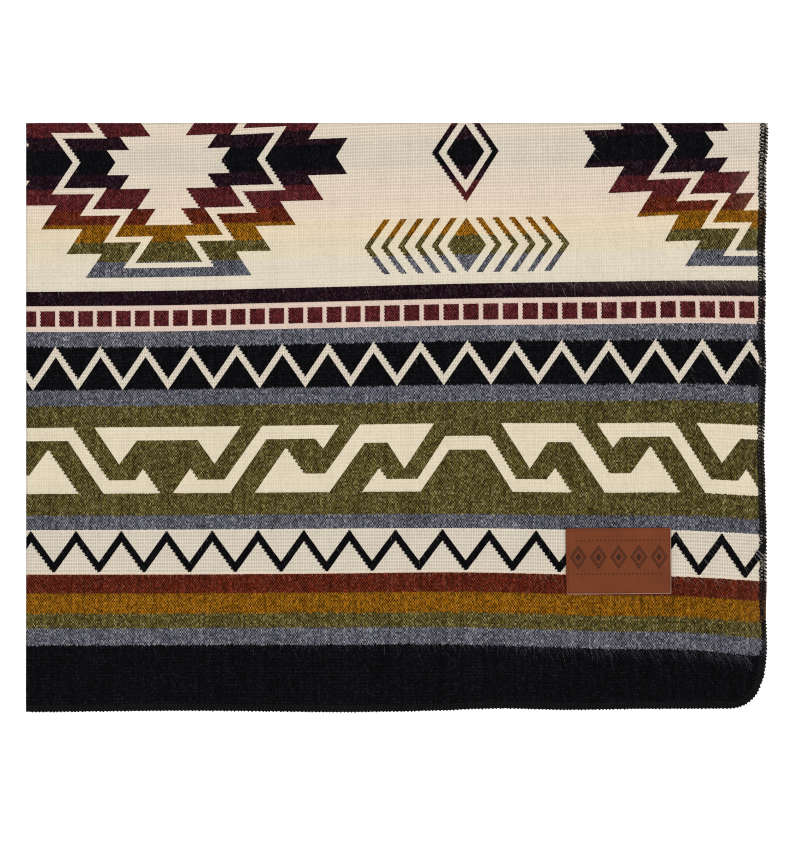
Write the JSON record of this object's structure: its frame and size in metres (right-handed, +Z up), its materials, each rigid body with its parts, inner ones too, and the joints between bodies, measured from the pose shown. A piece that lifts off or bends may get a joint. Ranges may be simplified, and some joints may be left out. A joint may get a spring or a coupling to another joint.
{
  "type": "wool blanket",
  "caption": "Corner length of a brushed, traditionally patterned wool blanket, laid flat, with overlocked sides, a round corner and a sewn leather patch.",
  "frame": {"origin": "under the middle of the sheet, on the surface that it lies on", "axes": "+X towards the sewn side edge, +Y from the sewn front edge towards the cut back edge, +Z up out of the cloth's face"},
  "size_m": [0.5656, 0.449, 0.0056],
  "materials": {
    "wool": "brushed double weave, cream, black and coloured bands",
    "leather": "smooth vegetable-tanned brown, matte"
  },
  "bodies": {
    "root": {"blanket": "wool", "leather_patch": "leather"}
  },
  "joints": []
}
